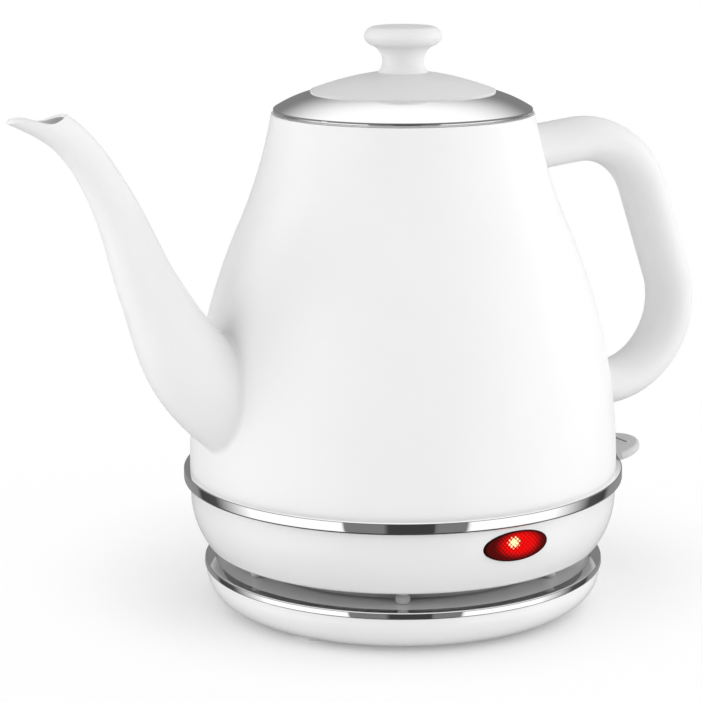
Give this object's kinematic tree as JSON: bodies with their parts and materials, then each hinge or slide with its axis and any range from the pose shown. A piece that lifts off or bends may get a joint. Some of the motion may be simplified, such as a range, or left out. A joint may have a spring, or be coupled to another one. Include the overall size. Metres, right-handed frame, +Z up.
{
  "type": "gooseneck kettle",
  "caption": "Cordless electric kettle with a slim curved pouring spout, a looped handle and a lift-off lid, standing on a round power base it can be turned on and lifted from.",
  "frame": {"origin": "on the kettle's axis at the table that the base stands on", "axes": "+Z up, -X towards the spout, +X towards the handle, -Y the side with the indicator lamp"},
  "size_m": [0.259, 0.15, 0.1968],
  "materials": {
    "white_gloss": "gloss white moulded plastic",
    "white_paint": "satin white baked paint on steel",
    "white_satin": "satin white moulded plastic",
    "bright_chrome": "polished chrome trim",
    "vessel_steel": "brushed stainless steel",
    "bracket_steel": "plain zinc plated steel",
    "screw_steel": "zinc plated screws",
    "heater_alloy": "cast aluminium spreader and sheath",
    "contact_brass": "bright brass contacts",
    "disc_metal": "bimetal strip",
    "grey_plastic": "light grey moulded plastic",
    "dark_plastic": "black heat-proof plastic",
    "ceramic_white": "white ceramic pins",
    "soft_rubber": "pale grey rubber",
    "clear_silicone": "milky silicone",
    "lead_cover": "insulated copper leads",
    "red_lens": "red ribbed lens",
    "lamp_glass": "small glowing lamp"
  },
  "bodies": {
    "base": {"base_tray": "white_gloss", "base_trim_ring": "bright_chrome", "base_plate": "grey_plastic", "base_feet": "soft_rubber", "base_screws": "screw_steel", "cord_gland": "grey_plastic", "base_connector": "dark_plastic", "live_contact": "contact_brass", "neutral_contact": "contact_brass", "earth_contact": "contact_brass", "connector_screws": "screw_steel", "base_leads": "lead_cover"},
    "centre_pin": {"earth_pin": "contact_brass"},
    "kettle": {"body_shell": "white_paint", "boil_dry_discs": "disc_metal", "bottom_cover": "grey_plastic", "control_pillars": "bracket_steel", "control_unit": "dark_plastic", "cover_screws": "screw_steel", "handle": "white_satin", "handle_brackets": "bracket_steel", "handle_screws": "screw_steel", "heat_spreader": "heater_alloy", "heating_element": "heater_alloy", "indicator_lamp": "lamp_glass", "indicator_lens": "red_lens", "kettle_feet": "soft_rubber", "lamp_holder": "dark_plastic", "lever_pin": "bracket_steel", "live_ring": "contact_brass", "lower_housing": "white_gloss", "mouth_ring": "bright_chrome", "neutral_ring": "contact_brass", "push_pins": "ceramic_white", "spout": "white_paint", "steam_disc": "disc_metal", "steam_tube": "vessel_steel", "switch_bracket": "bracket_steel", "vessel_floor": "vessel_steel", "waist_ring": "bright_chrome"},
    "lid": {"lid_ring": "bright_chrome", "lid_cap": "white_satin", "lid_knob": "white_satin", "lid_liner": "vessel_steel", "lid_seal": "clear_silicone", "lid_spacer": "bracket_steel", "knob_screw": "screw_steel"},
    "lever": {"switch_lever": "white_satin"},
    "plunger": {"contact_plunger": "dark_plastic"}
  },
  "joints": [
    {"name": "kettle_lift", "type": "slide", "parent": "base", "child": "centre_pin", "axis": [0, 0, 1], "range_m": [0, 0.09]},
    {"name": "kettle_swivel", "type": "hinge", "parent": "centre_pin", "child": "kettle", "pos_m": [0, 0, 0.0206], "axis": [0, 0, 1], "continuous": true},
    {"name": "lid_lift", "type": "slide", "parent": "kettle", "child": "lid", "axis": [0, 0, 1], "range_m": [0, 0.05]},
    {"name": "switch_rock", "type": "hinge", "parent": "kettle", "child": "lever", "pos_m": [0.062, 0, 0.036], "axis": [0, 1, 0], "range_deg": [-12, 0]},
    {"name": "contact_push", "type": "slide", "parent": "kettle", "child": "plunger", "axis": [0, 0, 1], "range_m": [-0.0019, 0]}
  ],
  "couplings": [
    {"joint": "contact_push", "follows": "switch_rock", "m_per_rad": 0.009}
  ]
}
